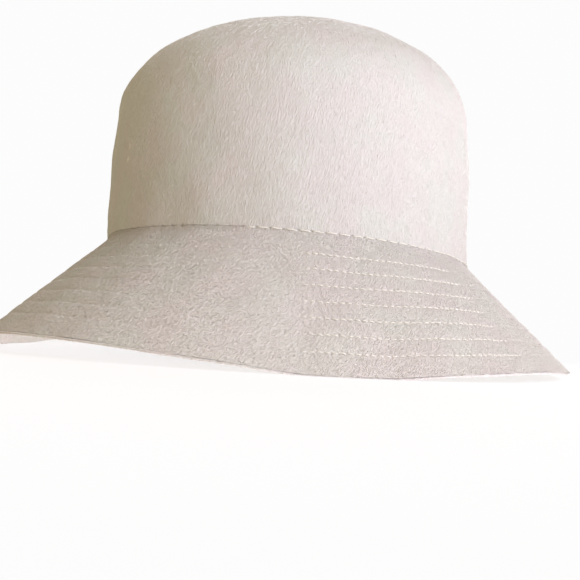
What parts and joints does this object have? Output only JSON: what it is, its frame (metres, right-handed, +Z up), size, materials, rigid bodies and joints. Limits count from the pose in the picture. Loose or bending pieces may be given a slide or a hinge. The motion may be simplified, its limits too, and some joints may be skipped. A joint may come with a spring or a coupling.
{
  "type": "cloche hat",
  "caption": "Plain felt cloche hat: a smooth domed crown sewn to a sloping, gently waved brim, open below, resting on the brim's edge.",
  "frame": {"origin": "on the surface the hat rests on, below the middle of the brim's outline", "axes": "+Z up, -Y towards the front of the hat, +X towards the right of someone who looks at its front"},
  "size_m": [0.278, 0.3018, 0.1636],
  "materials": {
    "crown_felt": "brushed ivory wool felt",
    "brim_felt": "ivory wool felt, quilted by rows of cream stitches"
  },
  "bodies": {
    "root": {"crown": "crown_felt", "brim": "brim_felt"}
  },
  "joints": []
}
